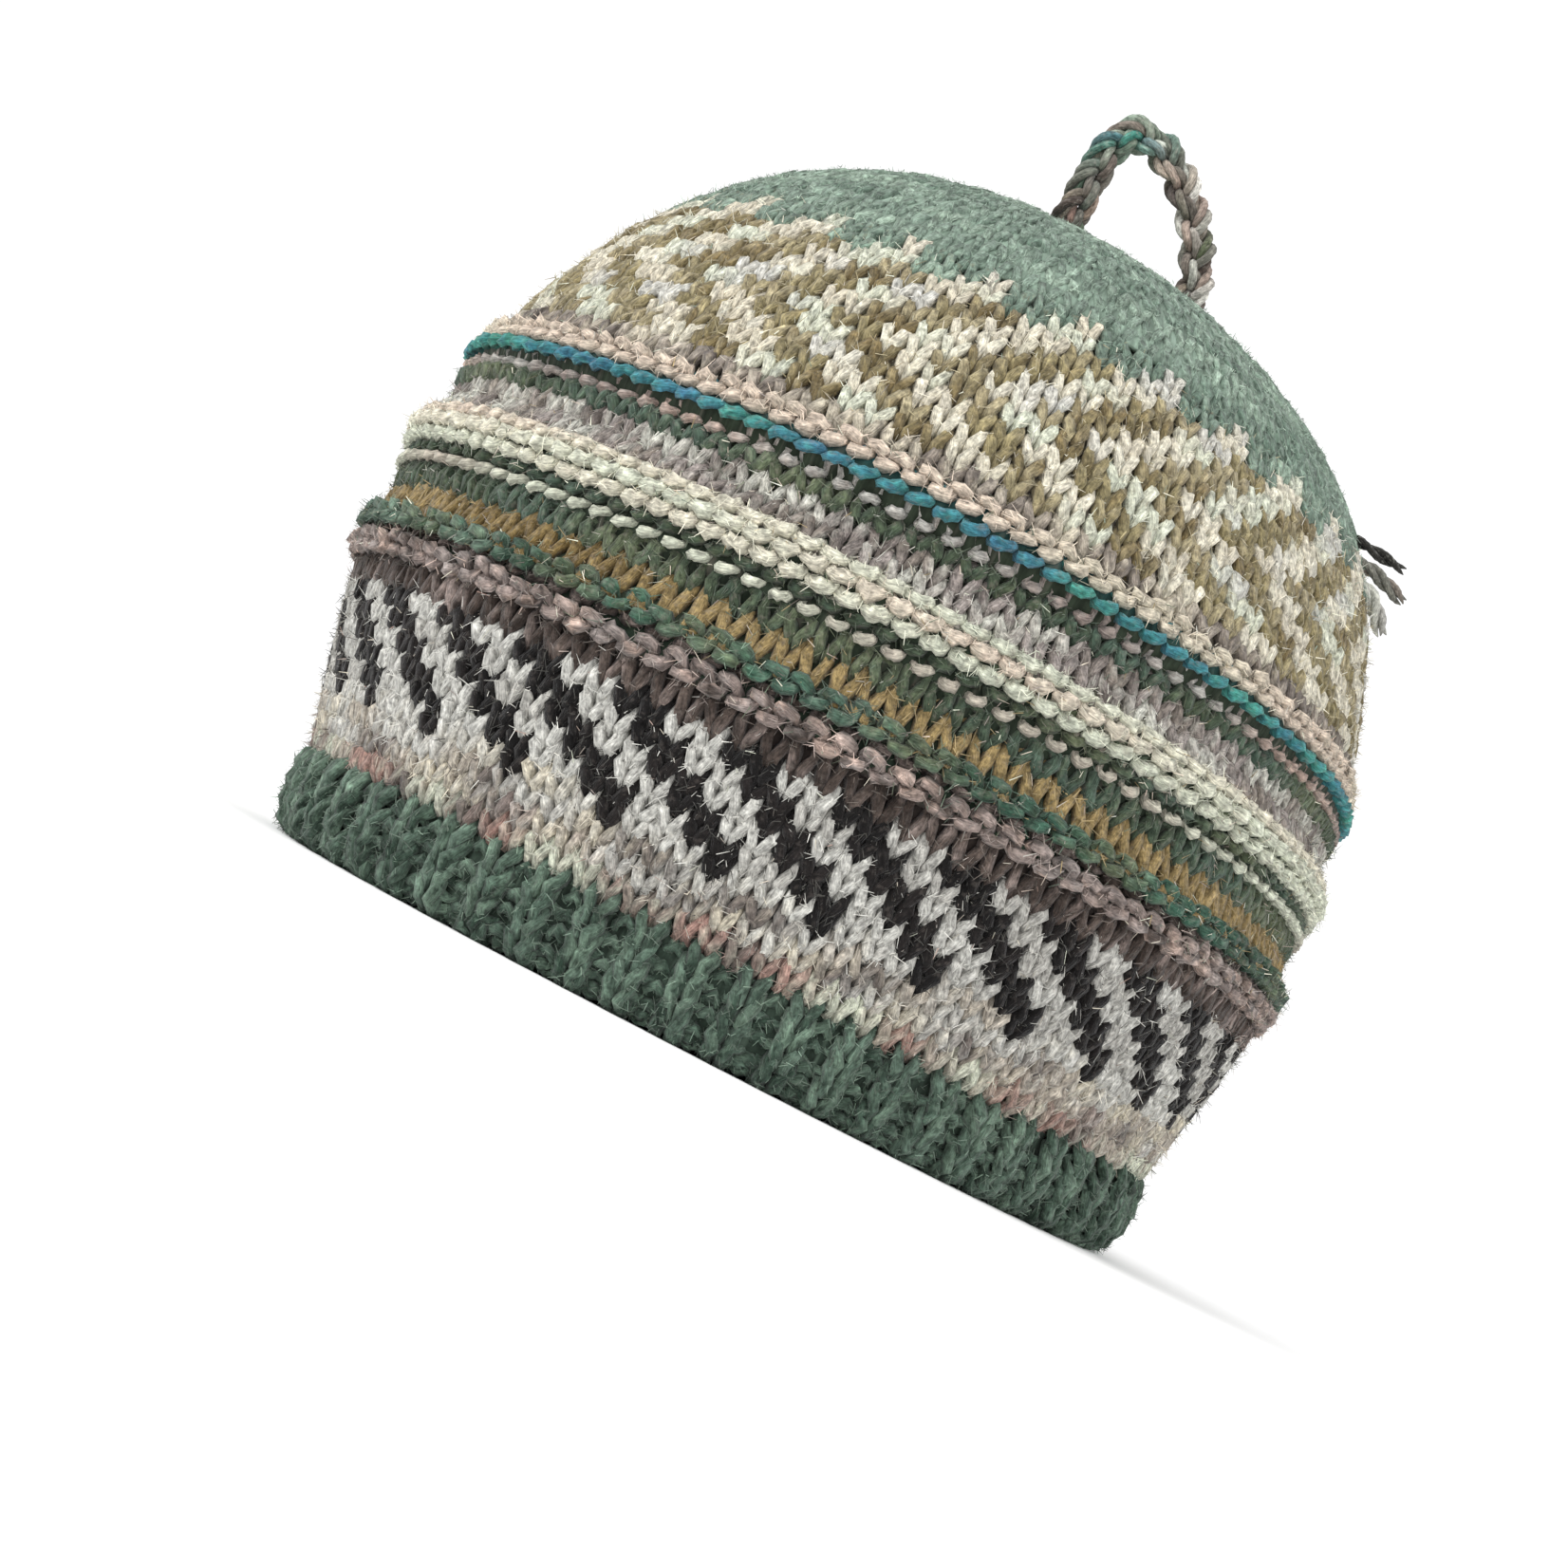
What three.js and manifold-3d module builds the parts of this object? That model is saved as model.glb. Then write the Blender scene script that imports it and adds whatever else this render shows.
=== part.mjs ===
// A hand-knitted wool beanie, standing on its rim at z = 0 with its front towards -Y.
// Lengths are millimetres. Every knitted section is a hollow ring or dome that follows one outline.
import * as THREE from 'three';
import { mergeVertices } from 'three/addons/utils/BufferGeometryUtils.js';
import loadManifold from 'manifold-3d';

const WALL = 5; // stranded knit, two yarns thick
const BAND_WALL = 7.5; // the ribbed band is knitted tighter and thicker
const SECTION_GAP = 0.3; // from one section to the next
const OVAL = 1.05; // front-to-back half axis over the mean radius, and mean radius over the side half axis
const SEGMENTS = 44; // facets round a plain section
const RIBS = 60; // knit-one purl-one ribs round the band
const FACETS_PER_RIB = 4;
const CLOSEST_CORNERS = 0.6; // along a striped outline
const RIB_DEPTH = 1.3; // from the mean surface of the band to a rib's crest

// Outer line of the fabric, from the rim to the middle of the crown, as mean radius and height.
const OUTLINE = [
  { radius: 92.5, height: 0 },
  { radius: 95, height: 17 },
  { radius: 99.5, height: 36 },
  { radius: 103, height: 56 },
  { radius: 102.5, height: 80 },
  { radius: 100, height: 98 },
  { radius: 94.5, height: 117 },
  { radius: 85, height: 138 },
  { radius: 69, height: 158 },
  { radius: 48, height: 171 },
  { radius: 24, height: 177 },
  { radius: 0, height: 178 },
];

// Knitted sections above the band, by length along the fabric from the rim.
const SECTIONS = [
  { name: 'lower_panel', from: 17, to: 55, outerSteps: 6, innerSteps: 4, colour: 0x8d8480 },
  { name: 'welt_stripes', from: 55, to: 107, outerSteps: 0, innerSteps: 4, colour: 0xa89f90 },
  { name: 'upper_panel', from: 107, to: 153, outerSteps: 7, innerSteps: 5, colour: 0xb3a684 },
];
const CROWN = { name: 'crown', from: 153, steps: 8, colour: 0x6f8b7d };
const BAND = { name: 'rib_band', height: 17, overhang: 1.5, colour: 0x4f6b5c };

// Section of the ribbed band, as shares of its wall from the inside out and of its height.
const BAND_SECTION = [
  { corner: 'inner edge of the flat foot', through: 0.19, up: 0 },
  { corner: 'outer edge of the flat foot', through: 0.7, up: 0 },
  { corner: 'rounded heel', through: 1.05, up: 0.18 },
  { corner: 'belly', through: 1.24, up: 0.6 },
  { corner: 'outer top', through: 1.16, up: 1 },
  { corner: 'inner top', through: 0.3, up: 1 },
  { corner: 'inner belly', through: 0, up: 0.4 },
];

// Stripes of the welted section: where each crest or hollow lies along the fabric, how wide it is,
// and how far it stands out from the outline.
const STRIPES = [
  { name: 'taupe purl ridge', at: 57.4, width: 4.8, lift: 2.2 },
  { name: 'green purl ridge', at: 62.8, width: 5, lift: 2.4 },
  { name: 'gold and green hollow', at: 69.3, width: 8, lift: -0.8 },
  { name: 'pale dots', at: 75, width: 3.4, lift: 0.9 },
  { name: 'cream welt', at: 82.2, width: 10, lift: 3 },
  { name: 'grey hollow', at: 91, width: 7.6, lift: -1.2 },
  { name: 'pale dots', at: 96.4, width: 3.2, lift: 0.6 },
  { name: 'teal purl ridge', at: 100.2, width: 4.4, lift: 2 },
  { name: 'pink welt', at: 104.6, width: 4.8, lift: 1.8 },
];

// Slow uneven swells of the soft wall: waves round the hat, size, turn, and how they lean with height.
const SWELLS = [
  { waves: 4, size: 0.9, turn: 0.6, rise: 36 },
  { waves: 6, size: 0.6, turn: -1.1, rise: -24 },
];
const SWELL_FADE = 60; // radius under which the swells die away towards the crown's middle

// Plaited hanging loop on the crown.
const LOOP = {
  plane: THREE.MathUtils.degToRad(42), // direction of the loop's width, from +X towards +Y
  middle: 7, // from the hat's axis, along that direction
  halfSpan: 15.5, // between the middle lines of the two legs, halved
  rise: 33, // of the plait's middle line over its feet
  lean: -9, // sideways at the top
  seat: 0.6, // clearance of the feet over the crown
};
const PLAIT = {
  turns: 3.25, // weaves of one strand along the loop
  across: 2.7, // a strand's wander in the loop's plane
  through: 2.45, // and square to it
  radius: 1.2,
  straight: 0.05, // share of the loop at each foot where the strands run straight down
  sides: 6,
  steps: 33,
};
const STRAND_COLOURS = [0x9b9184, 0xd8d2c8, 0x5f7f78];

// Loose yarn ends that run from the loop's far foot over the crown and stick out past its shoulder.
const TASSEL = {
  name: 'yarn_tassel',
  head: 3.4, // radius of the gathered head
  headAt: 28, // from the hat's axis
  headBearing: THREE.MathUtils.degToRad(45), // from +X towards +Y
  bearing: THREE.MathUtils.degToRad(50), // of the middle of the ends, past the shoulder
  yarnRadius: 1.2,
  clearance: 0.5,
  colour: 0x6b6b64,
};
// Each end's bearing from their middle, the length along the fabric where it leaves the crown,
// how far it reaches out from there, and how far it drops.
const YARN_ENDS = [
  { name: 'charcoal', spread: 0, leaves: 168, reach: 20, drop: 1 },
  { name: 'grey', spread: -3, leaves: 162, reach: 17, drop: 4 },
  { name: 'pale', spread: -6, leaves: 156, reach: 11, drop: 9 },
  { name: 'green', spread: 5, leaves: 158, reach: 8, drop: 5 },
  { name: 'cream', spread: 11, leaves: 162, reach: 12, drop: 8 },
];
const YARN_SIDES = 6;
const YARN_STEPS = 8;
const LYING_SHARES = [0, 1 / 3, 2 / 3, 1]; // of a yarn end's way over the crown, where its route has a point
const FREE_BEND = 0.32; // share of its drop that a free end has made half way out

const JOIN_DISTANCE = 1e-3; // corners nearer than this are one corner
const LENGTH_STEP = 0.01; // finest step when a length along the fabric is looked up

const outline = new THREE.SplineCurve(OUTLINE.map((row) => new THREE.Vector2(row.radius, row.height)));
outline.arcLengthDivisions = 800;
const FABRIC_LENGTH = outline.getLength();

// Point of the fabric's section, a length along it from the rim and a lift outwards from it.
function fabricPoint(length, lift) {
  const share = THREE.MathUtils.clamp(length / FABRIC_LENGTH, 0, 1);
  const tangent = outline.getTangentAt(share);
  const outward = new THREE.Vector2(tangent.y, -tangent.x);
  const point = outline.getPointAt(share).addScaledVector(outward, lift);
  point.x = Math.max(point.x, 0);
  return point;
}

// Length along the fabric at which the crown's top reaches a radius.
function lengthAtRadius(radius) {
  let low = CROWN.from;
  let high = FABRIC_LENGTH;
  while (high - low > LENGTH_STEP) {
    const middle = (low + high) / 2;
    if (fabricPoint(middle, 0).x > radius) low = middle;
    else high = middle;
  }
  return low;
}

// Place in the hat of a section point turned to an angle: swells first, then the oval.
function placed(point, angle) {
  const fade = Math.min(1, point.x / SWELL_FADE);
  const swell = SWELLS.reduce(
    (sum, row) => sum + row.size * Math.sin(row.waves * angle + row.turn + point.y / row.rise), 0);
  const radius = point.x + fade * swell;
  return new THREE.Vector3(
    (radius * Math.cos(angle)) / OVAL, radius * Math.sin(angle) * OVAL, point.y);
}

// Lift of a stripe's rounded crest or hollow at a length along the fabric.
function stripeLift(length) {
  return STRIPES.reduce((sum, row) => {
    const away = Math.abs(length - row.at) / (row.width / 2);
    return away < 1 ? sum + row.lift * Math.cos((away * Math.PI) / 2) : sum;
  }, 0);
}

// One closed body: shared corners joined and collapsed facets at the axis dropped.
function closedBody(geometry) {
  geometry.deleteAttribute('uv');
  geometry.deleteAttribute('normal');
  const merged = mergeVertices(geometry, JOIN_DISTANCE);
  const corners = merged.index.array;
  const kept = [];
  for (let i = 0; i < corners.length; i += 3) {
    const [a, b, c] = [corners[i], corners[i + 1], corners[i + 2]];
    if (a !== b && b !== c && c !== a) kept.push(a, b, c);
  }
  merged.setIndex(kept);
  merged.computeVertexNormals();
  return merged;
}

// Solid of revolution from a section, carried onto the hat's soft oval form.
function knittedSolid(section, segments, rib = () => 0) {
  const lathe = new THREE.LatheGeometry(section, segments);
  lathe.rotateX(Math.PI / 2);
  const corners = lathe.attributes.position;
  for (let i = 0; i < corners.count; i += 1) {
    const angle = Math.atan2(corners.getY(i), corners.getX(i));
    const radius = Math.hypot(corners.getX(i), corners.getY(i));
    const point = new THREE.Vector2(radius, corners.getZ(i));
    point.x += rib(point, angle);
    const place = placed(point, angle);
    corners.setXYZ(i, place.x, place.y, place.z);
  }
  return closedBody(lathe);
}

function mesh(name, geometry, colour) {
  const material = new THREE.MeshStandardMaterial({ color: colour, roughness: 0.95, metalness: 0 });
  const made = new THREE.Mesh(geometry, material);
  made.name = name;
  return made;
}

// Evenly spaced lengths from one to another, both ends included.
function evenly(from, to, steps) {
  return Array.from({ length: steps + 1 }, (_, i) => from + ((to - from) * i) / steps);
}

// Lengths where the welted section's outer line needs a corner: the foot and both shoulders of each stripe.
function stripeLengths(from, to) {
  const inside = STRIPES.flatMap(({ at, width }) => [at - width / 2, at - width / 5, at + width / 5]);
  const sorted = [from, ...inside, to].filter((length) => length >= from && length <= to);
  sorted.sort((a, b) => a - b);
  return sorted.filter((length, i) => i === 0 || length - sorted[i - 1] > CLOSEST_CORNERS);
}

// Band of knit-one purl-one rib: a thick rounded ring with a flat foot that it rests on.
function ribBand() {
  const inside = fabricPoint(0, BAND.overhang).x - BAND_WALL;
  const top = BAND.height - SECTION_GAP / 2;
  const section = BAND_SECTION.map(
    ({ through, up }) => new THREE.Vector2(inside + through * BAND_WALL, up * top));
  const rib = (point, angle) => {
    const depth = THREE.MathUtils.clamp((point.x - inside) / BAND_WALL, 0, 1);
    return RIB_DEPTH * depth * Math.cos(RIBS * angle);
  };
  const solid = knittedSolid([...section, section[0]], RIBS * FACETS_PER_RIB, rib);
  return mesh(BAND.name, solid, BAND.colour);
}

// Ring of knit between two lengths along the fabric, its outside following the stripes.
function knittedRing({ name, from, to, outerSteps, innerSteps, colour }) {
  const start = from + SECTION_GAP / 2;
  const end = to - SECTION_GAP / 2;
  const outerLengths = outerSteps ? evenly(start, end, outerSteps) : stripeLengths(start, end);
  const outer = outerLengths.map((length) => fabricPoint(length, stripeLift(length)));
  const inner = evenly(end, start, innerSteps).map((length) => fabricPoint(length, -WALL));
  return mesh(name, knittedSolid([...outer, ...inner, outer[0]], SEGMENTS), colour);
}

// Dome that closes the top, from its lower edge to the middle and back along the inside.
function crown() {
  const start = CROWN.from + SECTION_GAP / 2;
  const inner = evenly(FABRIC_LENGTH, start, CROWN.steps).map((length) => fabricPoint(length, -WALL));
  const outer = evenly(start, FABRIC_LENGTH, CROWN.steps).map((length) => fabricPoint(length, 0));
  inner[0].x = 0;
  outer[CROWN.steps].x = 0;
  return mesh(CROWN.name, knittedSolid([...inner, ...outer], SEGMENTS), CROWN.colour);
}

// Height of the crown's top at a distance from the hat's axis.
const crownTop = (radius) => fabricPoint(lengthAtRadius(radius), 0).y;

// Middle line of the whole plait, as its sideways place and its height.
class LoopArch extends THREE.Curve {
  constructor() {
    super();
    this.feet = [-1, 1].map((side) => crownTop(Math.abs(LOOP.middle + side * LOOP.halfSpan)) + LOOP.seat);
  }

  getPoint(share, target = new THREE.Vector2()) {
    const turn = Math.PI * share;
    const sideways = LOOP.middle - LOOP.halfSpan * Math.cos(turn) + LOOP.lean * Math.sin(turn) ** 2;
    const foot = THREE.MathUtils.lerp(this.feet[0], this.feet[1], share);
    return target.set(sideways, foot + LOOP.rise * Math.sin(turn));
  }
}

// Middle line of one strand, which weaves about the plait's own.
class PlaitStrand extends THREE.Curve {
  constructor(arch, phase) {
    super();
    this.arch = arch;
    this.phase = phase;
  }

  getPoint(share, target = new THREE.Vector3()) {
    const plaited = (share - PLAIT.straight) / (1 - 2 * PLAIT.straight);
    const turn = 2 * Math.PI * PLAIT.turns * THREE.MathUtils.clamp(plaited, 0, 1) + this.phase;
    const ahead = this.arch.getTangentAt(share);
    const outward = new THREE.Vector2(-ahead.y, ahead.x);
    const place = this.arch.getPointAt(share).addScaledVector(outward, PLAIT.across * Math.sin(turn));
    const through = PLAIT.through * Math.sin(2 * turn);
    const [cos, sin] = [Math.cos(LOOP.plane), Math.sin(LOOP.plane)];
    return target.set(place.x * cos - through * sin, place.x * sin + through * cos, place.y);
  }
}

// Round section of a yarn or strand, as a polygon.
function roundSection(radius, sides) {
  const corners = Array.from({ length: sides }, (_, i) => {
    const turn = (2 * Math.PI * i) / sides;
    return new THREE.Vector2(radius * Math.cos(turn), radius * Math.sin(turn));
  });
  return new THREE.Shape(corners);
}

function plaitStrand(arch, strand) {
  const section = roundSection(PLAIT.radius, PLAIT.sides);
  const extrudePath = new PlaitStrand(arch, (2 * Math.PI * strand) / STRAND_COLOURS.length);
  const tube = new THREE.ExtrudeGeometry(section, { steps: PLAIT.steps, extrudePath });
  return mesh(`loop_strand_${strand + 1}`, closedBody(tube), STRAND_COLOURS[strand]);
}

// Place on the crown's outside, a length along the fabric and a lift over it.
const onCrown = (length, angle, lift) => placed(fabricPoint(length, lift), angle);

// One loose yarn: from the head along the crown, then free past the shoulder.
function yarnEnd({ spread, leaves, reach, drop }) {
  const lift = TASSEL.yarnRadius + TASSEL.clearance;
  const start = lengthAtRadius(TASSEL.headAt);
  const turn = THREE.MathUtils.degToRad(spread);
  const lying = LYING_SHARES.map((share) => {
    const length = THREE.MathUtils.lerp(start, leaves, share);
    const bearing = THREE.MathUtils.lerp(TASSEL.headBearing, TASSEL.bearing + turn, share);
    const rise = ((1 - share) * TASSEL.head) / 2;
    return onCrown(length, bearing, lift + rise);
  });
  const outward = new THREE.Vector3(Math.cos(TASSEL.bearing + turn), Math.sin(TASSEL.bearing + turn), 0);
  const last = lying[lying.length - 1];
  const tip = last.clone().addScaledVector(outward, reach).setZ(last.z - drop);
  const half = last.clone().lerp(tip, 0.5).setZ(last.z - drop * FREE_BEND);
  const extrudePath = new THREE.CatmullRomCurve3([...lying, half, tip]);
  const section = roundSection(TASSEL.yarnRadius, YARN_SIDES);
  return closedBody(new THREE.ExtrudeGeometry(section, { steps: YARN_STEPS, extrudePath }));
}

const wasm = await loadManifold();
wasm.setup();

function asManifold(geometry) {
  const vertProperties = new Float32Array(geometry.attributes.position.array);
  const triVerts = new Uint32Array(geometry.index.array);
  return new wasm.Manifold(new wasm.Mesh({ numProp: 3, vertProperties, triVerts }));
}

function asGeometry(manifold) {
  const { vertProperties, triVerts } = manifold.getMesh();
  const geometry = new THREE.BufferGeometry();
  geometry.setAttribute('position', new THREE.BufferAttribute(new Float32Array(vertProperties), 3));
  geometry.setIndex(new THREE.BufferAttribute(new Uint32Array(triVerts), 1));
  geometry.computeVertexNormals();
  return geometry;
}

// Gathered head with its loose yarn ends, joined into one body.
function yarnTassel() {
  const seat = lengthAtRadius(TASSEL.headAt);
  const centre = onCrown(seat, TASSEL.headBearing, TASSEL.head + TASSEL.clearance);
  const head = new THREE.SphereGeometry(TASSEL.head, 10, 6);
  head.translate(centre.x, centre.y, centre.z);
  const joined = YARN_ENDS.reduce(
    (body, row) => body.add(asManifold(yarnEnd(row))), asManifold(closedBody(head)));
  return mesh(TASSEL.name, asGeometry(joined), TASSEL.colour);
}

const beanie = new THREE.Group();
beanie.add(ribBand());
SECTIONS.forEach((section) => beanie.add(knittedRing(section)));
beanie.add(crown());
const arch = new LoopArch();
STRAND_COLOURS.forEach((_, strand) => beanie.add(plaitStrand(arch, strand)));
beanie.add(yarnTassel());

export default beanie;
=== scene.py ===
import math
from collections import namedtuple

import bpy
import numpy as np
from mathutils import Matrix, Vector


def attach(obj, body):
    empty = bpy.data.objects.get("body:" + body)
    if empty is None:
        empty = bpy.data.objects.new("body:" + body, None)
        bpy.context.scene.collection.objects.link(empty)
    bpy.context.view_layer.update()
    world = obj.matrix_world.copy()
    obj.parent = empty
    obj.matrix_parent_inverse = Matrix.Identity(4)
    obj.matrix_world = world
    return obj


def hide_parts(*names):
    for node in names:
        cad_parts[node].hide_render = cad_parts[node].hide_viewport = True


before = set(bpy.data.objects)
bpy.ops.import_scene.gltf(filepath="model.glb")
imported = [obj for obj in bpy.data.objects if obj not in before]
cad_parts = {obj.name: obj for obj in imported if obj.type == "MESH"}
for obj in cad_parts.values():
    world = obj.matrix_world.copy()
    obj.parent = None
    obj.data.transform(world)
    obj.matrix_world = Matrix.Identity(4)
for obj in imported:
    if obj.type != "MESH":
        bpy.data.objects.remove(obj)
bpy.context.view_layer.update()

MM = 0.001  # sizes below are in millimetres, and meshes are made in metres
FULL_TURN = 2 * np.pi

# The hat's form: radius and height of its outline, from the rim to the middle of the crown.
OUTLINE = (
    (92.5, 0), (95, 17), (99.5, 36), (103, 56), (102.5, 80), (100, 98),
    (94.5, 117), (85, 138), (69, 158), (48, 171), (24, 177), (0, 178),
)
OVAL = 1.05  # the plan is longer along Y and narrower along X by this
SWELLS = ((4, 0.9, 0.6, 36), (6, 0.6, -1.1, -24))  # waves round the hat, size, turn, height to a radian
SWELL_FADE = 60  # radius under which the swells die away

# Where each knitted section begins, by length along the fabric from the rim.
LOWER_FROM = 17
WELTS_FROM = 55
UPPER_FROM = 107
CROWN_FROM = 153

# Of each section: its material slot, the colour and share of the flecks in its wool, and its seed.
SECTIONS = {
    "rib_band": ("rib_green", (120, 140, 124), 0.3, 21),
    "lower_panel": ("lower_colourwork", (120, 112, 106), 0.16, 22),
    "welt_stripes": ("welt_colours", (150, 140, 130), 0.22, 23),
    "upper_panel": ("upper_colourwork", (160, 148, 118), 0.18, 24),
    "crown": ("crown_green", (138, 156, 144), 0.35, 25),
}
WOOL_SEED = 11  # for the drift of the yarns' colours

# Stripes of the welted section: place along the fabric, width, and how far each stands out.
STRIPES = (
    (57.4, 4.8, 2.2), (62.8, 5, 2.4), (69.3, 8, -0.8), (75, 3.4, 0.9), (82.2, 10, 3),
    (91, 7.6, -1.2), (96.4, 3.2, 0.6), (100.2, 4.4, 2), (104.6, 4.8, 1.8),
)

# The ribbed band is a doubled hem: its line runs down the inside, round the foot and up the outside,
# as shares of the wall from the inside out and of the height. The two end points only lead the line.
BAND_WALL = 7.5
BAND_TOP = 16.85
BAND_OVERHANG = 1.5
BAND_LINE = (
    (0.42, 1.2), (0.3, 1), (0, 0.4), (0.19, 0), (0.7, 0), (1.05, 0.18), (1.24, 0.6), (1.16, 1), (1.08, 1.2),
)
RIBS = 60
RIB_DEPTH = 1.1
RIB_SINK = 0.2  # how far the ribs lie inside the band's line on the whole, in rib depths
RIB_PINCH = 0.2  # share by which the knit columns are widened and the sunk purl ones narrowed
BAND_COURSES = 10

# One stitch: its yarn rises from a foot, up a leg, over the loop at the head and down the other leg.
# It has a ring of points at each of these turns in degrees, closest together where it shows.
STITCHES = 120
UPPER_STITCHES = 112
RINGS = 10  # to a stitch
LEG_TURNS = (0, 40, 74, 106, 140, 180, 220, 254, 286, 320)
FOOT_TURNS = (0, 15, 32, 55, 105, 180, 255, 305, 328, 345)
FOOT_AND_HEAD_TURNS = (0, 25, 60, 120, 155, 180, 205, 240, 300, 335)

# Faces that a course can show: its turns, the radius of its yarn, the height of its loops in courses
# where legs show and in millimetres where they don't, how far it stands out over the rest, how far its
# legs lean in stitch widths, how much higher its feet are on the right, and how uneven it is.
Face = namedtuple("Face", "turns yarn height lift slant tilt loose")
FACES = {
    "knit": Face(LEG_TURNS, 1.26, 2.05, 0, 0.24, 0, 1.3),
    "rib": Face(LEG_TURNS, 1.3, 2.05, 0, 0.25, 0, 1.9),
    "dashes": Face(FOOT_TURNS, 1.0, 4.0, 0.3, 0.13, 0.5, 1.2),
    "bumps": Face(FOOT_TURNS, 1.15, 4.0, 0, 0.22, 0.4, 1.2),
    "welt": Face(FOOT_TURNS, 1.45, 4.4, 0, 0.24, 0.4, 1.2),
    "cord": Face(FOOT_TURNS, 1.1, 4.6, 0.6, 0.27, 0.9, 1.2),
    "ridge": Face(FOOT_AND_HEAD_TURNS, 1.25, 2.5, 0.7, 0.25, 0.5, 1.4),
}
YARN_SIDES = 5
STITCH_WIDTH = 5.3  # at which the yarn has its full radius
YARN_BEHIND = 0.88  # share of that radius where it is hidden
YARN_SWELL = 0.15  # share that it gains where it shows
YARN_THINS = 0.6  # power by which it thins in narrower stitches
DEPTH = 1.15  # how far legs and loops lie in front of or behind the middle of the fabric
LEG_SHARPNESS = 2.6  # how soon the yarn comes forward from its foot into its leg
LOOSENESS = np.array([0.045, 0.24, 0.17])  # unevenness across in stitch widths, up and out in millimetres
LUMPS = 0.18  # unevenness of the yarn's own surface
SPECKLE = 0.26  # spread of its tweed from light to dark

# The ground between the stitches, the fabric's felted back: its lift, and the share of the darkest wool
# near it that it takes; below 1 this share darkens the gaps between the stitches as painted shade.
GAP_GROUND_AND_PAINTED_SHADE = {"rib_band": (-3.6, 0.35), "crown": (-0.8, 1)}
PLAIN_GAP_GROUND_AND_PAINTED_SHADE = (-2.2, 0.42)
GROUND_WALL = 0.9
GROUND_SEGMENTS = 60
GROUND_NEAR = np.arange(-2, 3)  # the courses near a ring of it, counted from the ring's own

# Wool colours, red, green and blue from 0 to 255.
WOOL = {
    "ink": (15, 13, 13),
    "soft black": (30, 26, 25),
    "white": (187, 186, 180),
    "ivory": (206, 200, 182),
    "off white": (168, 166, 160),
    "cream": (193, 185, 166),
    "oat": (170, 161, 148),
    "mint white": (192, 196, 178),
    "rose": (154, 122, 112),
    "rust": (146, 98, 86),
    "shell": (196, 180, 164),
    "blush": (172, 150, 138),
    "mushroom": (126, 117, 108),
    "taupe": (88, 77, 71),
    "umber": (60, 51, 46),
    "mauve taupe": (140, 126, 120),
    "lilac grey": (140, 131, 127),
    "stone": (102, 94, 89),
    "deep green": (36, 52, 42),
    "rib green": (70, 88, 76),
    "leaf": (102, 122, 106),
    "sage": (138, 156, 140),
    "crown green": (114, 131, 118),
    "fir": (88, 107, 94),
    "jade": (56, 92, 76),
    "pine": (42, 66, 52),
    "bottle": (62, 74, 58),
    "moss": (92, 100, 76),
    "gold": (140, 121, 82),
    "ochre": (108, 90, 54),
    "olive": (132, 122, 90),
    "bronze": (108, 94, 64),
    "khaki": (158, 148, 120),
    "teal": (58, 120, 128),
    "azure": (62, 112, 138),
    "sea": (66, 136, 122),
    "charcoal": (48, 47, 43),
    "grey": (116, 115, 106),
    "pale grey": (190, 190, 180),
    "snow": (230, 227, 218),
}

# Yarns: the wools that each drifts through along its length, over about how many stitches,
# and how strongly they are also mixed in it as tweed.
YARNS = {
    "rib": (("rib green", "deep green", "leaf", "fir"), 1, 1),
    "rosy": (("oat", "rose", "mint white", "mushroom", "rose", "mint white", "stone"), 1.6, 0.5),
    "oatmeal": (("cream", "stone", "white", "oat", "mauve taupe", "white"), 1.4, 0.6),
    "cream": (("cream", "stone", "white", "white", "oat"), 1.4, 0.5),
    "pale": (("white", "cream", "oat", "white"), 3, 0.35),
    "white": (("white", "off white"), 5, 0.3),
    "black": (("ink", "soft black"), 5, 0.5),
    "taupe": (("taupe", "umber", "mauve taupe", "umber"), 1.5, 1),
    "pink taupe": (("mauve taupe", "blush", "umber", "mauve taupe", "lilac grey"), 1, 1),
    "green": (("jade", "rib green", "leaf", "pine", "moss"), 2.5, 0.7),
    "gold": (("gold", "ochre", "gold", "gold"), 5, 0.6),
    "bottle": (("bottle", "moss", "bottle", "rib green"), 4, 0.6),
    "dots": (("mint white", "oat", "mint white"), 7, 0.3),
    "pink dots": (("blush", "off white", "mauve taupe", "mushroom", "off white"), 5, 0.4),
    "welt": (("mint white", "ivory", "mint white", "ivory", "mint white", "shell"), 12, 0.3),
    "lilac": (("lilac grey", "stone", "pale grey", "mushroom", "lilac grey", "pale grey"), 1.5, 0.7),
    "teal": (("teal", "sea", "azure", "teal", "sea"), 2.5, 0.6),
    "pink": (("shell", "cream", "shell", "shell", "cream"), 5, 0.4),
    "base": (("mushroom", "oat", "mushroom", "stone", "cream"), 1.5, 0.8),
    "ivory": (("ivory", "cream", "mint white", "ivory", "white"), 3, 0.35),
    "olive": (("olive", "bronze", "khaki", "olive"), 2, 0.8),
    "crown": (("crown green", "fir", "sage", "crown green"), 4, 0.85),
}
FEWEST_WOOLS = 4  # changes of colour round the smallest course

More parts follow.
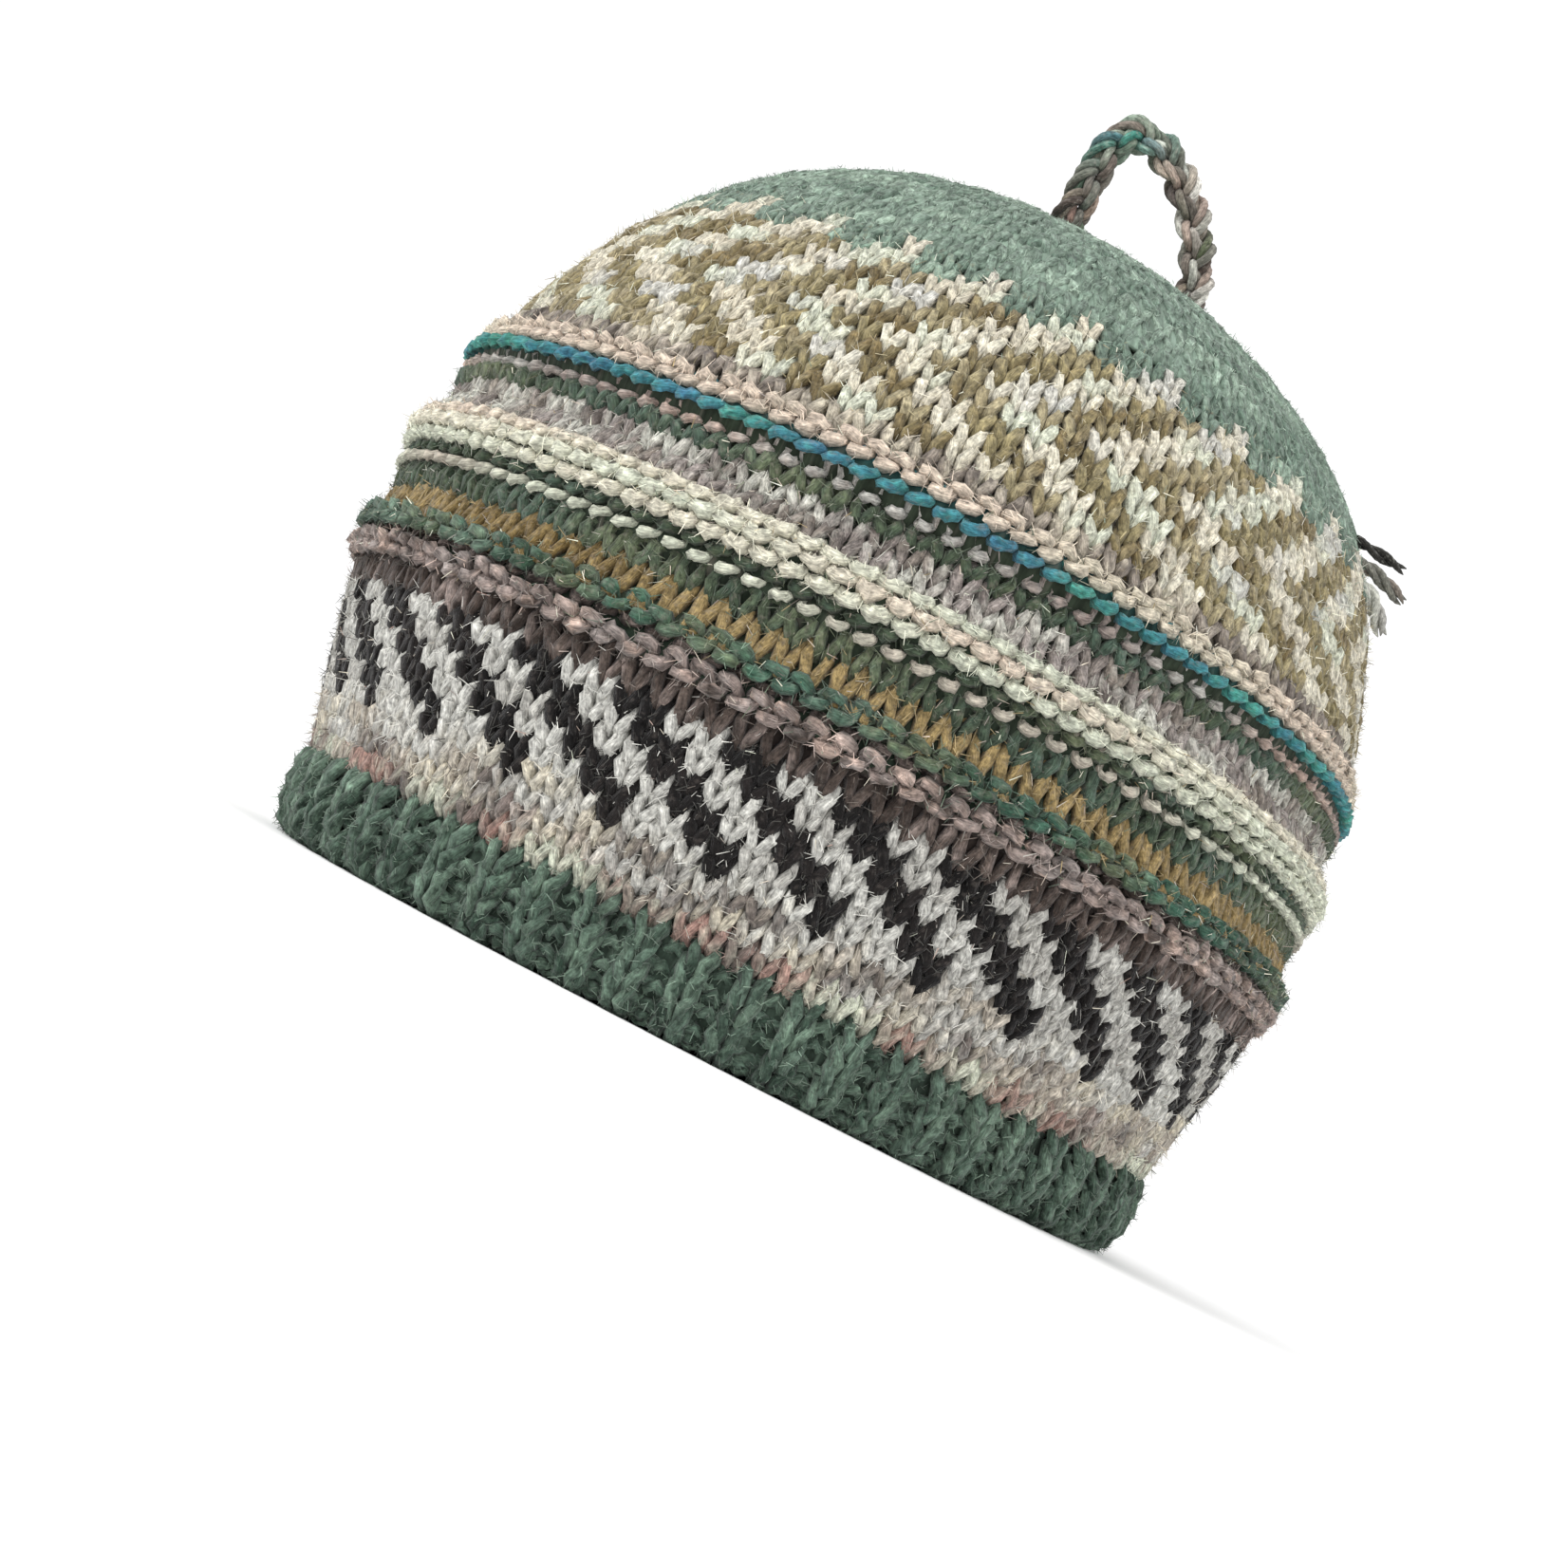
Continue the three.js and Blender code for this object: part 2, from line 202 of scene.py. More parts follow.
# Courses from the bottom up: the face that they show, their height, their repeat round the hat,
# and the yarns that its letters stand for.
LOWER_COURSES = (
    ("knit", 3.66, "a", "rosy"),
    ("knit", 3.66, "a", "oatmeal"),
    ("knit", 3.66, "a", "cream"),
    ("knit", 3.66, "aaab", "pale", "black"),
    ("knit", 3.66, "aabb", "white", "black"),
    ("knit", 3.66, "abba", "white", "black"),
    ("knit", 3.66, "bbaa", "white", "black"),
    ("knit", 3.66, "baab", "white", "black"),
    ("knit", 3.66, "aabb", "white", "black"),
    ("knit", 5.06, "a", "taupe"),
)
WELT_COURSES = (
    ("ridge", 4.4, "a", "pink taupe"),
    ("bumps", 1.8, "a", "taupe"),
    ("ridge", 3.4, "a", "green"),
    ("knit", 5.2, "a", "gold"),
    ("knit", 3.4, "a", "bottle"),
    ("dashes", 3.6, "a", "dots"),
    ("bumps", 1.6, "a", "bottle"),
    ("welt", 2.6, "a", "welt"),
    ("welt", 2.6, "a", "welt"),
    ("welt", 2.6, "a", "welt"),
    ("knit", 3.7, "a", "lilac"),
    ("knit", 3.7, "a", "lilac"),
    ("knit", 2.2, "a", "bottle"),
    ("dashes", 2.4, "a", "pink dots"),
    ("cord", 4.0, "a", "teal"),
    ("ridge", 4.8, "a", "pink"),
)
UPPER_COURSES = (
    ("knit", 3.8, "a", "base"),
    ("knit", 3.8, "baab", "ivory", "olive"),
    ("knit", 3.8, "aabb", "ivory", "olive"),
    ("knit", 3.8, "abba", "ivory", "olive"),
    ("knit", 3.8, "bbaa", "ivory", "olive"),
    ("knit", 3.8, "baab", "ivory", "olive"),
    ("knit", 3.8, "bbaa", "ivory", "olive"),
    ("knit", 3.8, "abba", "ivory", "olive"),
    ("knit", 3.8, "aabb", "ivory", "olive"),
    ("knit", 3.8, "baab", "ivory", "olive"),
    ("knit", 3.8, "bbaa", "ivory", "crown"),
    ("knit", 4.2, "bbba", "ivory", "crown"),
)
CROWN_PITCH = 4.5
CROWN_STITCH = 5  # width that the crown's decreases keep its stitches near
CROWN_STEP = 6  # stitches lost at a time
CROWN_CLOSES = 2.5  # radius of the last course

# The plaited loop on the crown, in the upright plane at this bearing.
LOOP_BEARING = math.radians(42)
LOOP_MIDDLE = 7  # from the hat's middle to the middle between the loop's feet
LOOP_HALF_SPAN = 15.5
LOOP_RISE = 33
LOOP_LEAN = -9  # how far its top leans towards the near foot
LOOP_SEAT = 0.6  # height of its feet over the crown's outline
ARCH_STEPS = 2000  # before the arch is cut into even steps
PLAIT_TURNS = 3.25
PLAIT_ACROSS = 2.2  # how far strands weave to either side
PLAIT_THROUGH = 2.0  # and to the front and back
PLAIT_STRAIGHT = 0.05  # share at each end where the strands don't cross
PLAIT_YARN = 0.92  # radius of a yarn
PLAIT_TWISTS = 8  # of the yarns in a strand
PLAIT_STEPS = 150
PLAIT_FLECKS = ((200, 192, 180), 0.25)  # their colour and share
# Each strand is three yarns, by the wools that each passes through from the near foot to the far one.
STRANDS = {
    "loop_strand_1": (
        "plait_taupe",
        (("olive", "mushroom", "sage", "blush", "mushroom", "taupe"),
         ("charcoal", "taupe", "mushroom", "shell", "grey", "mushroom"),
         ("moss", "mauve taupe", "leaf", "mushroom", "pale grey", "grey")),
    ),
    "loop_strand_2": (
        "plait_pale",
        (("sea", "grey", "sea", "pale grey", "snow", "snow"),
         ("olive", "blush", "sage", "snow", "mushroom", "snow"),
         ("charcoal", "mushroom", "teal", "oat", "blush", "grey")),
    ),
    "loop_strand_3": (
        "plait_green",
        (("moss", "leaf", "sage", "taupe", "grey", "umber"),
         ("rust", "mushroom", "sea", "mushroom", "moss", "blush"),
         ("charcoal", "grey", "leaf", "stone", "taupe", "mushroom")),
    ),
}

# Loose yarn ends: they run from a gathered head over the crown and stick out past its shoulder.
TASSEL_BEARING = math.radians(50)
TASSEL_LIFT = 1.7  # height of an end's middle over the crown's outline
TASSEL_LYING = 4  # points of each end's route along the crown
TASSEL_BEND = 0.32  # share of its drop at half its reach
TASSEL_STEPS = 60
TASSEL_TWISTS = 5
TASSEL_FLECKS = ((190, 190, 180), 0.3)
# Of each end: its bearing from their middle in degrees, where it leaves the crown along the fabric,
# how far it reaches out and drops from there, its yarns' radius, and their wools.
TASSEL_ENDS = (
    (0, 168, 20, 1, 0.78, ("charcoal", "charcoal")),
    (-3, 162, 17, 4, 0.84, ("grey", "mushroom", "grey")),
    (-6, 156, 11, 9, 0.95, ("pale grey", "off white", "pale grey")),
    (5, 158, 8, 5, 0.72, ("sage", "moss")),
    (11, 162, 12, 8, 0.8, ("off white", "pale grey", "cream")),
)
# The head is a ball of wound yarn, at this radius from the hat's middle.
HEAD_AT = 28
HEAD_BEARING = math.radians(45)
HEAD_RADIUS = 3.4
HEAD_SEAT = 0.5  # its height over the crown's outline
HEAD_COILS = 6
HEAD_POLES = 0.08  # share of the way from pole to pole that is left open at each
HEAD_STEPS = 140
HEAD_YARN = 0.95
HEAD_SINK = 0.9  # how far the yarn's middle lies inside the ball
HEAD_TIP = 0.05  # radius of the yarn at its ends
HEAD_WOOLS = ("mushroom", "leaf", "grey", "taupe")

# Yarns twisted together: their sides, the rings to a patch of their map, how far each lies off the middle
# in its own radii by how many there are, the steps over which they round off, and their least thickness.
TWISTED_SIDES = 7
TWISTED_PATCH = 10
TWISTED_OFFSET = {2: 0.95, 3: 1.08}
TWISTED_END = 2.5
TWISTED_TIP = 0.02

# Fine loose fibres on the wool: how many each section has, and their least and greatest length.
FIBRES = {
    "rib_band": (24000, 0.7, 2.2),
    "lower_panel": (26000, 0.7, 2.6),
    "welt_stripes": (32000, 0.7, 2.6),
    "upper_panel": (22000, 0.7, 2.4),
    "crown": (34000, 0.5, 1.4),
}
SMOOTH_FACES = ("dashes", "cord")  # of hard-spun yarn that has none
FIBRE_FRONT = -0.2  # how far forward a yarn lies where they begin, from -1 at the back to 1
FIBRE_LEAN = 1.2  # how far from the yarn's outer side they are rooted, in radians round it
FIBRE_ROOT = 0.9  # depth of their roots, as a share of the yarn's radius
FIBRE_RISE = (0, 0.6)  # how steeply they stand
FIBRE_ROLL = 0.2  # how unevenly they are turned about themselves
FIBRE_WIDTH = 0.18
FIBRE_TAPER = np.array([1, 0.35])  # share of the width at the root and at the tip
FIBRE_STRAYS = 0.2  # share that take their colour from another stitch
FIBRE_SHADE = (0.75, 1.5)  # of the wool that they come from
FIBRE_GLOW = 0.1  # share of pale grey, as single fibres scatter light

# Wool's surface: streaks, tweed and flecks as noise, by its scale along and round the yarn and its detail,
# the range over which noise goes from one end of a shade to the other, and those shades.
STREAKS = ((0.7, 22, 1), 3)
TWEED = ((1.1, 7, 1), 2)
FLECKS = ((0.8, 5, 2), 2)
NOISE_RANGE = (0.3, 0.7)
FLECK_RANGE = (0.55, 0.68)
STREAK_SHADE = (0.5, 1.45)
TWEED_SHADE = (0.58, 1.44)
# Darker in the grooves between the plies and a little lighter on their crests: painted shade.
PLY_GROOVE_PAINTED_SHADE = (0.86, 1.06)
TIP_SHADE = (0.95, 1.2)  # of a fibre, from its root to its tip
WOOL_ROUGHNESS = (0.98, 0.8)
PLIES = 2
KNIT_PLY = 4.6  # length of yarn to a turn of its plies
LOOSE_PLY = 3.4
TWIST_HEIGHT = 0.3  # of the plies, against the streaks and the tweed
BUMP_STRENGTH = 0.9
BUMP_DEPTH = 0.45

LINE_STEPS = 160  # to each part of a smooth line
PATCH_MARGIN = 0.06  # share of each patch of the baked map that is left empty at each edge

# A course's middle is a length along the fabric. Its wool has a colour for each turn and side of its yarn.
Course = namedtuple("Course", "face middle pitch stitches wool")
# Front says how far forward in the fabric the yarn lies, and is only needed for its fibres.
Yarn = namedtuple("Yarn", "line ahead side out thick wool front", defaults=[None])


def linear(colour):
    """A colour from 0 to 255 as linear light, by the sRGB curve."""
    share = np.asarray(colour, float) / 255
    return np.where(share <= 0.04045, share / 12.92, ((share + 0.055) / 1.055) ** 2.4)


def unit(vectors):
    return vectors / np.linalg.norm(vectors, axis=-1, keepdims=True)


def smooth_line(points, steps=LINE_STEPS):
    """An even Catmull-Rom line through the points."""
    points = np.asarray(points, float)
    padded = np.vstack([points[:1], points, points[-1:]])
    share = np.linspace(0, 1, steps, endpoint=False)[:, None]
    parts = []
    for before, start, end, after in zip(padded, padded[1:], padded[2:], padded[3:]):
        leave = (end - before) / 2
        arrive = (after - start) / 2
        cubic = (2 * start - 2 * end + leave + arrive) * share**3
        square = (-3 * start + 3 * end - 2 * leave - arrive) * share**2
        parts.append(cubic + square + leave * share + start)
    return np.vstack([*parts, points[-1:]])


def run_along(line):
    """Length from the first point of a line to each of its points."""
    return np.concatenate([[0], np.cumsum(np.linalg.norm(np.diff(line, axis=0), axis=1))])


def along(line, count):
    """The line again, as evenly spaced points."""
    run = run_along(line)
    even = np.linspace(0, run[-1], count)
    return np.stack([np.interp(even, run, line[:, axis]) for axis in range(line.shape[1])], axis=1)


class Profile:
    """A line of radius and height that courses follow, measured along itself."""

    def __init__(self, points):
        self.line = smooth_line(points)
        self.run = run_along(self.line)
        self.corners = self.run[::LINE_STEPS]
        ahead = unit(np.gradient(self.line, self.run, axis=0))
        self.outward = np.stack([ahead[:, 1], -ahead[:, 0]], axis=1)

    def sample(self, values, length):
        return np.stack([np.interp(length, self.run, values[:, axis]) for axis in (0, 1)], axis=-1)

    def at(self, length, lift):
        """Radius and height at lengths along the line, lifted off it, and the outward directions."""
        outward = self.sample(self.outward, length)
        return self.sample(self.line, length) + outward * np.expand_dims(lift, -1), outward


def stand(place, angle):
    """Points at a radius and height turned to a bearing, with the wall's slow swells and oval plan."""
    radius = np.maximum(place[..., 0], 0)
    height = place[..., 1]
    fade = np.minimum(1, radius / SWELL_FADE)
    for waves, size, turn, rise in SWELLS:
        radius = radius + fade * size * np.sin(waves * angle + turn + height / rise)
    return np.stack([radius * np.cos(angle) / OVAL, radius * np.sin(angle) * OVAL, height], axis=-1)


def stripe_relief(length, angle):
    """How far the welts' crests and hollows stand out."""
    lift = np.zeros_like(length)
    for place, width, size in STRIPES:
        away = np.abs(length - place) / (width / 2)
        lift = lift + size * np.cos(np.minimum(away, 1) * np.pi / 2)
    return lift


def no_relief(length, angle):
    return np.zeros_like(length)


HAT = Profile(OUTLINE)
BAND_INSIDE = HAT.at(np.array(0.0), BAND_OVERHANG)[0][0] - BAND_WALL
BAND = Profile([(BAND_INSIDE + through * BAND_WALL, up * BAND_TOP) for through, up in BAND_LINE])


def rib_relief(length, angle):
    """Rise of the knit columns and fall of the purl ones, full on the outside and none on the inside."""
    radius = np.interp(length, BAND.run, BAND.line[:, 0])
    share = np.clip((radius - BAND_INSIDE) / BAND_WALL, 0, 1)
    return RIB_DEPTH * share * (np.cos(RIBS * angle) - RIB_SINK)


def stitch_faces(face, stitches):
    """1 for each stitch that shows its legs, and -1 for each that shows its feet."""
    if face == "rib":
        return 1.0 - 2.0 * (np.arange(stitches) % 2)
    return np.full(stitches, 1.0 if face == "knit" else -1.0)


def drifting_wool(yarn, stitches, rng):
    """Colours of a course's yarn, all round it at each turn, as it drifts from wool to wool."""
    names, span, tweed = YARNS[yarn]
    count = stitches * RINGS
    knots = max(FEWEST_WOOLS, round(stitches / span))
    wools = np.array([linear(WOOL[name]) for name in names])
    picks = wools[rng.integers(len(names), size=knots)]
    place = np.arange(count) / count * knots
    start = place.astype(int)
    share = (place - start)[:, None]
    share = share * share * (3 - 2 * share)
    drift = picks[start] * (1 - share) + picks[(start + 1) % knots] * share
    mixed = tweed * rng.uniform(size=(count, YARN_SIDES, 1))
    tufts = wools[rng.integers(len(names), size=(count, YARN_SIDES))]
    shade = np.exp(SPECKLE * tweed * rng.normal(size=mixed.shape))
    return (drift[:, None] * (1 - mixed) + tufts * mixed) * shade


def laid_courses(rows, start, stitches, rng):
    """Courses one above the other from a length along the fabric."""
    courses = []
    for face, pitch, repeat, *yarns in rows:
        wools = [drifting_wool(yarn, stitches, rng) for yarn in yarns]
        letters = np.array(["ab".index(letter) for letter in repeat])
        chosen = np.repeat(letters[np.arange(stitches) % len(letters)], RINGS)
        wool = np.choose(chosen[:, None, None], wools) if len(wools) > 1 else wools[0]
        courses.append(Course(face, start + pitch / 2, pitch, stitches, wool))
        start += pitch
    return courses


def crown_courses(rng):
    """Courses of the crown, each with fewer stitches as it draws in."""
    courses = []
    middle = CROWN_FROM + CROWN_PITCH / 2
    while True:
        radius = HAT.at(np.array(middle), 0)[0][0]
        if radius < CROWN_CLOSES:
            return courses
        stitches = max(CROWN_STEP, CROWN_STEP * round(FULL_TURN * radius / CROWN_STITCH / CROWN_STEP))
        wool = drifting_wool("crown", stitches, rng)
        courses.append(Course("knit", middle, CROWN_PITCH, stitches, wool))
        middle += CROWN_PITCH


def yarn_frame(line, outward, closed=False):
    """Directions ahead, to the side and outwards along a yarn's middle line."""
    if closed:
        ahead = np.roll(line, -1, axis=0) - np.roll(line, 1, axis=0)
    else:
        ahead = np.gradient(line, axis=0)
    ahead = unit(ahead)
    side = unit(np.cross(ahead, outward))
    return ahead, side, np.cross(side, ahead)


def yarn_rings(yarn, sides):
    """Rings of points round a yarn, with the seam on its hidden side."""
    turn = np.pi + FULL_TURN * np.arange(sides) / sides
    out = np.cos(turn)[:, None] * yarn.out[:, None]
    side = np.sin(turn)[:, None] * yarn.side[:, None]
    return yarn.line[:, None] + yarn.thick[..., None] * (out + side)


def course_yarn(profile, relief, course, shift, rng):
    """One course as a closed yarn bent into stitches, all turned round the hat by a share of a stitch."""
    style = FACES[course.face]
    turn = np.radians(style.turns)
    count = course.stitches
    face = stitch_faces(course.face, count)[:, None]
    foot_before = -(face + np.roll(face, 1, axis=0)) / 2
    foot_after = -(face + np.roll(face, -1, axis=0)) / 2
    foot = np.where(turn < np.pi, foot_before, foot_after)
    head = face if course.face in ("rib", "ridge") else 1.0
    leg = 1 - np.abs(np.cos(turn)) ** LEG_SHARPNESS
    front = leg * face + (1 - leg) * np.where(np.cos(turn) < 0, -head, foot)

    sway = np.sin(turn / 2) ** 2  # none where one stitch passes into the next
    loose = rng.normal(size=(3, count, 1)) * LOOSENESS[:, None, None] * style.loose * sway
    across = turn / FULL_TURN - 0.5 + style.slant * np.sin(2 * turn) + loose[0]
    angle = (np.arange(count)[:, None] + across + shift) * FULL_TURN / count
    if course.face == "rib":
        angle = angle + RIB_PINCH * np.sin(RIBS * angle) / RIBS
    height = style.height * (course.pitch if style.turns is LEG_TURNS else 1)
    foot_at = 0 if style.turns is FOOT_TURNS else -height / 2
    rise = (1 - np.cos(turn)) * height / 2
    length = course.middle + foot_at + rise + style.tilt * np.sin(turn) + loose[1]

    radius = np.interp(course.middle, profile.run, profile.line[:, 0])
    room = min(1, FULL_TURN * radius / count / STITCH_WIDTH) ** YARN_THINS
    yarn = style.yarn * room
    shown = np.clip(front, 0, 1)
    lumps = 1 + LUMPS * rng.normal(size=(count * len(turn), YARN_SIDES))
    thick = yarn * (YARN_BEHIND + YARN_SWELL * shown).reshape(-1, 1) * lumps
    lift = relief(length, angle) + style.lift - yarn + DEPTH * (front - 1) + loose[2]
    place, outward = profile.at(length, lift)
    line = stand(place, angle).reshape(-1, 3)
    level = outward[..., 0]
    outward = np.stack([level * np.cos(angle), level * np.sin(angle), outward[..., 1]], axis=-1)
    frame_of_yarn = yarn_frame(line, outward.reshape(-1, 3), closed=True)
    return Yarn(line, *frame_of_yarn, thick, course.wool, front.ravel())


class Knitting:
    """Gathers yarns, linings or fibres as strips of rings, and makes them one mesh of quads."""

    def __init__(self):
        self.points = []
        self.wool = []
        self.quads = []
        self.strand = []
        self.cell = []
        self.patch = []
        self.point_count = 0
        self.cell_count = 0

    def add(self, rings, wool, run, patch, closed=False, tube=False):
        """Adds rings of shape (strips, rings, sides, 3), with their wool and each ring's run in length.

        A closed strip joins its last ring to its first, and a tube its last side to its first. Patch is how
        many rings share a patch of the baked map.
        """
        strips, count, sides, _ = rings.shape
        rows = count if closed else count - 1
        columns = sides if tube else sides - 1
        row, column = np.meshgrid(np.arange(rows), np.arange(columns), indexing="ij")
        row = row.ravel()
        column = column.ravel()
        next_row = (row + 1) % count
        next_column = (column + 1) % sides
        quad = np.stack([
            row * sides + column, row * sides + next_column,
            next_row * sides + next_column, next_row * sides + column,
        ], axis=1)
        first = self.point_count + np.arange(strips) * count * sides
        self.quads.append((first[:, None, None] + quad).reshape(-1, 4))
        self.points.append(rings.reshape(-1, 3))
        self.wool.append(np.broadcast_to(wool, rings.shape).reshape(-1, 3))

        row_corners = np.stack([row, row, row + 1, row + 1], axis=1)
        around = np.stack([column, column + 1, column + 1, column], axis=1) / columns
        lengths = run[:, row_corners]
        everywhere = np.broadcast_to(around, lengths.shape)
        self.strand.append(np.stack([lengths, everywhere], axis=-1).reshape(-1, 2))
        cells = math.ceil(rows / patch)
        cell = self.cell_count + np.arange(strips)[:, None] * cells + row // patch
        self.cell.append(np.repeat(cell.ravel(), 4))
        within = np.stack([(row_corners - (row // patch * patch)[:, None]) / patch, around], axis=-1)
        self.patch.append(np.broadcast_to(within, (strips, *within.shape)).reshape(-1, 2))
        self.point_count += strips * count * sides
        self.cell_count += strips * cells

    def add_yarn(self, yarn, sides, patch, closed=False):
        """Adds one yarn as a tube."""
        rings = yarn_rings(yarn, sides)
        ends = np.vstack([yarn.line, yarn.line[:1]])
        self.add(rings[None], yarn.wool[None], run_along(ends)[None], patch, closed, tube=True)

    def make(self, name, material):
        """The mesh as an object, with the baked map, the strands' own map and the wool's colours."""
        points = np.concatenate(self.points) * MM
        points[:, 2] = np.maximum(points[:, 2], 0)  # the rim is pressed flat where it rests
        quads = np.concatenate(self.quads)
        mesh = bpy.data.meshes.new(name)
        mesh.vertices.add(len(points))
        mesh.vertices.foreach_set("co", points.ravel())
        mesh.loops.add(quads.size)
        mesh.loops.foreach_set("vertex_index", quads.ravel().astype(np.int32))
        mesh.polygons.add(len(quads))
        mesh.polygons.foreach_set("loop_start", np.arange(0, quads.size, 4, dtype=np.int32))
        mesh.polygons.foreach_set("use_smooth", np.ones(len(quads), dtype=bool))
        mesh.update(calc_edges=True)

        grid = math.ceil(math.sqrt(self.cell_count))
        cell = np.concatenate(self.cell)
        corner = np.stack([cell % grid, cell // grid], axis=1)
        inside = PATCH_MARGIN + (1 - 2 * PATCH_MARGIN) * np.concatenate(self.patch)
        layer = mesh.uv_layers.new(name="OFBake")
        layer.data.foreach_set("uv", ((corner + inside) / grid).ravel())
        layer = mesh.uv_layers.new(name="strand")
        layer.data.foreach_set("uv", np.concatenate(self.strand).ravel())
        wool = np.concatenate(self.wool)
        colours = mesh.color_attributes.new("wool", "FLOAT_COLOR", "POINT")
        colours.data.foreach_set("color", np.hstack([wool, np.ones((len(wool), 1))]).ravel())
        mesh.validate()
        mesh.materials.append(material)
        piece = bpy.data.objects.new(name, mesh)
        bpy.context.scene.collection.objects.link(piece)
        return piece


def ground_rings(profile, relief, courses, lift):
    """A ground between the stitches, standing for the fabric's felted back, as a thin closed wall, with the
    darkest wool near it, picked so that the gaps read as painted shade.
    """
    middles = [course.middle for course in courses]
    lowest = middles[0] - courses[0].pitch / 2
    highest = middles[-1] + courses[-1].pitch / 2
    lengths = np.array([lowest, *middles, highest])
    loop = np.concatenate([lengths, lengths[::-1]])
    lifts = np.repeat((lift, lift - GROUND_WALL), len(lengths))
    angle = np.arange(GROUND_SEGMENTS) * FULL_TURN / GROUND_SEGMENTS
    every_length, every_angle = np.meshgrid(loop, angle)
    place, _ = profile.at(every_length, relief(every_length, every_angle) + lifts)
    means = np.array([course.wool.mean(axis=(0, 1)) for course in courses])
    rings = np.arange(len(lengths))
    own = rings[:, None] - 1  # the first ring is below the first course
    near = np.clip(own + GROUND_NEAR, 0, len(means) - 1)
    darkest = means.sum(axis=1)[near].argmin(axis=1)
    wool = means[near[rings, darkest]]
    return stand(place, every_angle), np.concatenate([wool, wool[::-1]])


def fibre_strips(yarns, count, shortest, longest, rng):
    """Loose fibres rooted on the outer side of some yarns: narrow ribbons, each with its wool."""
    joined = Yarn(*(np.concatenate(values) for values in zip(*yarns)))
    shown = np.flatnonzero(joined.front > FIBRE_FRONT)
    pick = rng.choice(shown, size=count)
    lean = rng.uniform(-FIBRE_LEAN, FIBRE_LEAN, (count, 1))
    root_way = np.cos(lean) * joined.out[pick] + np.sin(lean) * joined.side[pick]
    start = joined.line[pick] + FIBRE_ROOT * joined.thick[pick, :1] * root_way
    any_way = rng.normal(size=(count, 3))
    level = unit(any_way - root_way * (any_way * root_way).sum(axis=1, keepdims=True))
    way = unit(level + rng.uniform(*FIBRE_RISE, (count, 1)) * root_way)
    length = rng.uniform(shortest, longest, (count, 1))
    line = np.stack([start, start + way * length], axis=1)
    flat = unit(np.cross(way, root_way + rng.normal(0, FIBRE_ROLL, (count, 3))))
    half = flat[:, None] * FIBRE_TAPER[None, :, None] * FIBRE_WIDTH / 2
    source = np.where(rng.uniform(size=count) < FIBRE_STRAYS, rng.permutation(pick), pick)
    wool = joined.wool[source, 0] * rng.uniform(*FIBRE_SHADE, (count, 1))
    wool = wool * (1 - FIBRE_GLOW) + linear(WOOL["pale grey"]) * FIBRE_GLOW
    return np.stack([line - half, line + half], axis=2), wool[:, None, None]


class Shader:
    """A material's nodes, linked as they are made."""

    def __init__(self, name):
        self.material = bpy.data.materials.new(name)
        self.material.use_nodes = True
        self.nodes = self.material.node_tree.nodes
        self.links = self.material.node_tree.links
        self.surface = self.nodes["Principled BSDF"]

    def node(self, kind, inputs=(), **settings):
        """A node with these settings, and with its inputs linked or set."""
        made = self.nodes.new(kind)
        for key, value in settings.items():
            setattr(made, key, value)
        for key, value in dict(inputs).items():
            if isinstance(value, bpy.types.NodeSocket):
                self.links.new(value, made.inputs[key])
            else:
                made.inputs[key].default_value = value
        return made

    def maths(self, operation, *values):
        return self.node("ShaderNodeMath", dict(enumerate(values)), operation=operation).outputs[0]

    def span(self, value, low, high, to_low, to_high):
        """A value taken from one range to another."""
        inputs = {"Value": value, "From Min": low, "From Max": high, "To Min": to_low, "To Max": to_high}
        return self.node("ShaderNodeMapRange", inputs).outputs["Result"]

    def noise(self, place, scale, detail):
        """Noise over a place stretched by a scale."""
        stretched = self.node("ShaderNodeMapping", {"Vector": place, "Scale": scale, "Location": scale})
        inputs = {"Vector": stretched.outputs["Vector"], "Scale": 1, "Detail": detail, "Roughness": 0.6}
        return self.node("ShaderNodeTexNoise", inputs).outputs["Fac"]

    def scaled(self, colour, shade):
        inputs = {0: colour, "Scale": shade}
        return self.node("ShaderNodeVectorMath", inputs, operation="SCALE").outputs["Vector"]

    def finish(self, **inputs):
        """The material, with these inputs to its surface."""
        for key, value in inputs.items():
            socket = self.surface.inputs[key.replace("_", " ")]
            if isinstance(value, bpy.types.NodeSocket):
                self.links.new(value, socket)
            else:
                socket.default_value = value
        return self.material


def wool_and_strand(shader):
    """A yarn's own colour, and the place along and round it."""
    wool = shader.node("ShaderNodeAttribute", attribute_name="wool").outputs["Color"]
    strand = shader.node("ShaderNodeUVMap", uv_map="strand").outputs["UV"]
    return wool, strand


